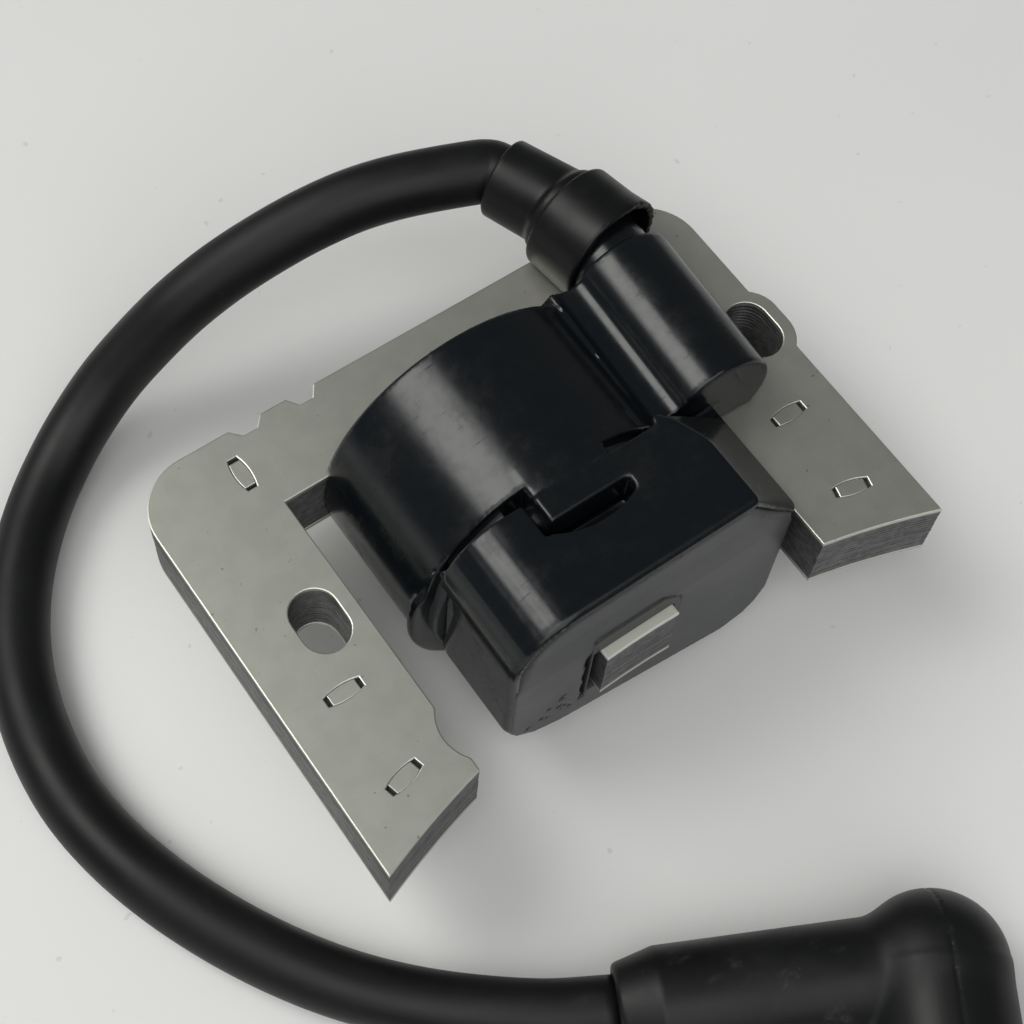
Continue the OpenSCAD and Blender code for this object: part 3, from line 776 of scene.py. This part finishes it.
# Bubbles in the epoxy's face, as X, Z and radius: a cluster at the lower left, then strays
PIT_RNG = np.random.default_rng(11)
PITS = [
    (-11.5 + PIT_RNG.normal(0, 2.6), MID_Z - 5.2 + PIT_RNG.normal(0, 1.7), PIT_RNG.uniform(0.12, 0.42))
    for _ in range(46)
] + [
    (PIT_RNG.uniform(-14, 20), PIT_RNG.uniform(8, 36), PIT_RNG.uniform(0.1, 0.22)) for _ in range(22)
]


def pits(x, y, z):
    """The bubbles, each flattened a little along Y."""
    holes = np.full(np.broadcast(x, y, z).shape, 9.0)
    for px, pz, r in PITS:
        holes = np.minimum(holes, np.sqrt((x - px) ** 2 + (z - pz) ** 2 + ((y + 47.95) * 1.6) ** 2) - r)
    return holes


def bobbin_field(x, y, z):
    """The bobbin's tube round the middle leg; its end stands proud, with a high rounded upper right."""
    up = z - MID_Z
    outline = [(-6.45, -6.4), (6.45, -6.4), (6.45, 5.0), (5.6, 7.2), (3.4, 8.9), (-5.9, 9.0), (-6.45, 8.4)]
    head = slab(polygon_field(x, up, outline), y, -48.42, -47.4, 0.3)
    tube = slab(np.maximum(np.abs(x), np.abs(up)) - LEG_ROOM + 0.05, y, BOX_FRONT, -12.2, 0.2)
    hole = np.maximum(np.maximum(-6.1 - x, x - 5.3), np.maximum(-5.3 - up, up - 5.55))
    return np.maximum(np.minimum(tube, head), -hole)


# ---------------------------------------------------------------- cap, boot and lead

def tilted(x, y, z, place, direction):
    """Distances along and away from the axis through a place, which may point any way."""
    d = np.asarray(direction, float)
    d = d / np.linalg.norm(d)
    px, py, pz = x - place[0], y - place[1], z - place[2]
    t = px * d[0] + py * d[1] + pz * d[2]
    away = np.sqrt(np.maximum(px * px + py * py + pz * pz - t * t, 1e-9))
    return t, away


CUP = np.array([TOWER[0] + 2.1, -7.05, TOWER[1]])
CUP_TURN = math.radians(9.5)
CUP_DIR = np.array([-math.sin(CUP_TURN), math.cos(CUP_TURN), 0])
CUP_R = 7.35
NECK_TURN = math.radians(22)
NECK = CUP + CUP_DIR * 9.75
NECK_DIR = np.array([-math.sin(NECK_TURN), math.cos(NECK_TURN), 0])
NECK_R = 5.5


def cap_field(x, y, z):
    """The rubber cap: a cup over the tower's spigot, a step and a bent neck."""
    t, away = tilted(x, y, z, CUP, CUP_DIR)
    # The cup flares to a torn lip, which stands open at the upper right
    right = (x - CUP[0]) * CUP_DIR[1] - (y - CUP[1]) * CUP_DIR[0]
    torn = 0.1 * np.sin(z * 4.1) + 0.07 * np.sin(z * 9.7 + 2)
    open_up = np.clip((right + z - CUP[2]) / 10, 0, 1)
    flare = 0.3 * np.clip(1 - t / 8, 0, 1) + 0.25 * open_up * np.clip(1 - t / 3, 0, 1)
    cup = slab(away - CUP_R - flare, t, torn * open_up, 8.1, 0.4)
    step = slab(away - NECK_R - 0.7, t, 6, 9.6, 0.7)
    tn, off = tilted(x, y, z, NECK, NECK_DIR)
    neck = slab(off - NECK_R + 0.02 * tn, tn, -3, 8.2, 0.4)
    cap = blend_min(blend_min(cup, step, 0.5), neck, 0.8)
    hollow = slab(away - CUP_R + 0.75 - flare * 0.6, t, -2, 4.3, 0.2)
    cap = blend_max(cap, -hollow, 0.2)
    way = np.maximum(off - LEAD_D / 2 - 0.02, -4 - tn)
    cap = np.maximum(cap, -way)
    foot = np.maximum(z - TOP - 0.1, y - 0.4)
    return blend_max(cap, -foot, 0.3)


ARM = ELBOW - MOUTH
ARM_L = float(np.linalg.norm(ARM))
PLUG_YAW = math.atan2(ARM[1], ARM[0]) + math.radians(PLUG_TURN)
PLUG_DIR = np.array([math.cos(PLUG_YAW), math.sin(PLUG_YAW), 0])


def boot_field(x, y, z):
    """The right-angle boot. Its places are in the row frame, so each is used less ORIGIN."""
    t, away = tilted(x, y, z, MOUTH - ORIGIN, ARM)
    mouth = np.clip(t / 5.0, 0, 1)
    arm = slab(away - 5.3 - 1.4 * mouth, t, 0, ARM_L, 0.5)
    head = np.sqrt(sum((a - b) ** 2 for a, b in zip((x, y, z), ELBOW - ORIGIN))) - 9.0
    tp, off = tilted(x, y, z, ELBOW - ORIGIN, PLUG_DIR)
    barrel = slab(off - 9.0 + 0.012 * tp, tp, 0, PLUG_L, 0.6)
    lip = slab(off - 8.95, tp, PLUG_L - 3, PLUG_L, 0.6)
    body = blend_min(blend_min(arm, head, 1.2), blend_min(barrel, lip, 0.4), 0.6)
    # The mould's parting line over the head and along the barrel
    across = np.cross(PLUG_DIR, (0, 0, 1))
    side = sum((a - b) * c for a, b, c in zip((x, y, z), ELBOW - ORIGIN, across))
    body = body + 0.16 * np.exp(-(side / 0.16) ** 2) * (t > ARM_L - 10)
    body = blend_max(body, -slab(off - BORE_R, tp, 1.6, 60, 0.3), 0.4)
    way = np.maximum(away - LEAD_D / 2 - 0.02, t - 22)
    body = np.maximum(body, -way)
    return np.maximum(body, -z)


def smooth_line(points, count):
    """A Catmull-Rom curve through given points, with evenly many steps between each two."""
    p = np.array(points, float)
    p = np.vstack([2 * p[0] - p[1], p, 2 * p[-1] - p[-2]])
    line = []
    for a, b, c, d in zip(p, p[1:], p[2:], p[3:]):
        for i in range(count):
            t = i / count
            line.append(0.5 * (2 * b + (c - a) * t + (2 * a - 5 * b + 4 * c - d) * t * t
                               + (3 * b - a - 3 * c + d) * t ** 3))
    line.append(p[-2])
    return np.array(line)


def build_lead(rubber):
    """The lead as a tube round its route, returned with its path and its length."""
    line = smooth_line(ROUTE, 6)
    sides = 40
    points, faces = [], []
    tangent = np.gradient(line, axis=0)
    tangent /= np.linalg.norm(tangent, axis=1)[:, None]
    for centre, t in zip(line, tangent):
        u = np.cross((0, 0, 1), t)
        u /= np.linalg.norm(u)
        w = np.cross(t, u)
        for k in range(sides):
            a = 2 * math.pi * k / sides
            points.append(centre + LEAD_D / 2 * (math.cos(a) * u + math.sin(a) * w) - ORIGIN)
    for i in range(len(line) - 1):
        for k in range(sides):
            a, b = i * sides + k, i * sides + (k + 1) % sides
            faces.append([a, b, b + sides, a + sides])
    faces.append(list(range(sides))[::-1])
    faces.append([(len(line) - 1) * sides + k for k in range(sides)])
    lead = settle(make_mesh("ht_lead", points, faces), rubber, "lead_rubber", "lead_jacket")
    path = line * MM
    length = float(np.linalg.norm(np.diff(path, axis=0), axis=1).sum())
    return lead, path, length


# ---------------------------------------------------------------- stage

def area_light(name, place, target, size, power, colour=(1, 1, 1), right=None):
    """A rectangular lamp in the row frame; its width lies level unless right says otherwise."""
    data = bpy.data.lights.new(name, "AREA")
    data.shape = "RECTANGLE"
    data.size, data.size_y = size[0] * MM, size[1] * MM
    data.energy = power
    data.color = colour
    lamp = bpy.data.objects.new(name, data)
    bpy.context.scene.collection.objects.link(lamp)
    forward = Vector(target) - Vector(place)
    aim(lamp, place, forward, right or forward.cross(Vector((0, 0, 1))))
    return lamp


def build_stage():
    """A pale floor, a window behind on the left, its wide glow, and a soft fill from the front."""
    reach = 3000.0
    corners = [(-reach, -reach, 0), (reach, -reach, 0), (reach, reach, 0), (-reach, reach, 0)]
    floor = make_mesh("floor", np.array(corners) - ORIGIN, [[0, 1, 2, 3]], False)
    floor.data.materials.append(floor_material())
    area_light("window_core", (-533, 520, 1066), (0, 0, 20), (560, 560), 4.2, (1.0, 0.985, 0.95))
    area_light("window_glow", (-600, 380, 1200), (0, 0, 20), (2600, 900), 9.6, (1.0, 0.99, 0.97), (0, 1, 0))
    area_light("room_fill", (-350, -850, 1150), (0, 0, 20), (1500, 1500), 10.0)
    world = bpy.data.worlds.new("room")
    world.use_nodes = True
    world.node_tree.nodes["Background"].inputs["Color"].default_value = (0.95, 0.98, 1.0, 1)
    world.node_tree.nodes["Background"].inputs["Strength"].default_value = 0.12
    bpy.context.scene.world = world
    bpy.context.scene.view_settings.view_transform = "Standard"


# ---------------------------------------------------------------- making it all

make_camera()
lead_black = rubber_material("lead_rubber", 0.005, 0.42, 0.52, 0.12)
lead, lead_path, lead_length = build_lead(lead_black)

MATERIALS = {
    "zinc_sheet": sheet_material(),
    "stack_sheet": stack_material(),
    "case_black": case_material(),
    "potting_black": potting_material(),
    "cap_rubber": rubber_material("cap_rubber", 0.005, 0.36, 0.46, 0.1),
    "lead_rubber": lead_black,
    "boot_rubber": rubber_material("boot_rubber", 0.006, 0.4, 0.52, 0.9, (-14, -58, 12)),
    "copper_wire": wire_material(),
    "bobbin_nylon": plain_material("bobbin_nylon", (0.035, 0.037, 0.037, 1), 0.45),
    "reel_nylon": plain_material("reel_nylon", (0.72, 0.69, 0.58, 1), 0.5),
    "film": plain_material("film", (0.6, 0.35, 0.08, 1), 0.3),
    "board_green": plain_material("board_green", (0.03, 0.16, 0.06, 1), 0.4, grain=1500),
    "chip_black": plain_material("chip_black", (0.02, 0.02, 0.02, 1), 0.5),
    "resistor_tan": plain_material("resistor_tan", (0.5, 0.35, 0.2, 1), 0.5),
    "tinned": plain_material("tinned", (0.62, 0.61, 0.58, 1), 0.3, 1.0),
}

build_core(MATERIALS["zinc_sheet"], MATERIALS["stack_sheet"])

# The moulded pieces, each meshed from its field inside a box that holds it
FINE = 0.36
case = field_mesh("case_moulding", case_field, (-24, -50, -0.8), (33.6, -2.0, 41), FINE)
settle(case, MATERIALS["case_black"], "case_black", "coil_case")
potting = field_mesh("potting_body", potting_field, (-20, -49.2, 0), (25, -10.8, 41), FINE)
settle(potting, MATERIALS["potting_black"], "potting_black", "potting")
low, high = (-7.2, -49.2, MID_Z - 7.2), (7.4, -11.4, MID_Z + 9.8)
bobbin = field_mesh("bobbin_tube", bobbin_field, low, high, FINE * 0.8)
settle(bobbin, MATERIALS["bobbin_nylon"], "bobbin_nylon", "core_bobbin")
cap = field_mesh("lead_cap_rubber", cap_field, (11, -10, 18), (36, 13.5, 38.5), 0.3)
settle(cap, MATERIALS["cap_rubber"], "cap_rubber", "lead_cap")
low = np.minimum(MOUTH, ELBOW + PLUG_DIR * PLUG_L) - 11 - ORIGIN
high = np.maximum(MOUTH, ELBOW) + 11 - ORIGIN
low[2], high[2] = -0.8, 19.5
boot = field_mesh("plug_boot_rubber", boot_field, low, high, FINE)
settle(boot, MATERIALS["boot_rubber"], "boot_rubber", "plug_boot")

# Every CAD mesh gets the material of its slot
slots = {part["node"]: part["material_slot"] for part in frame["record"]["subparts"]}
for node, piece in frame["nodes"].items():
    piece.data.materials.clear()
    piece.data.materials.append(MATERIALS[slots[node]])

build_stage()
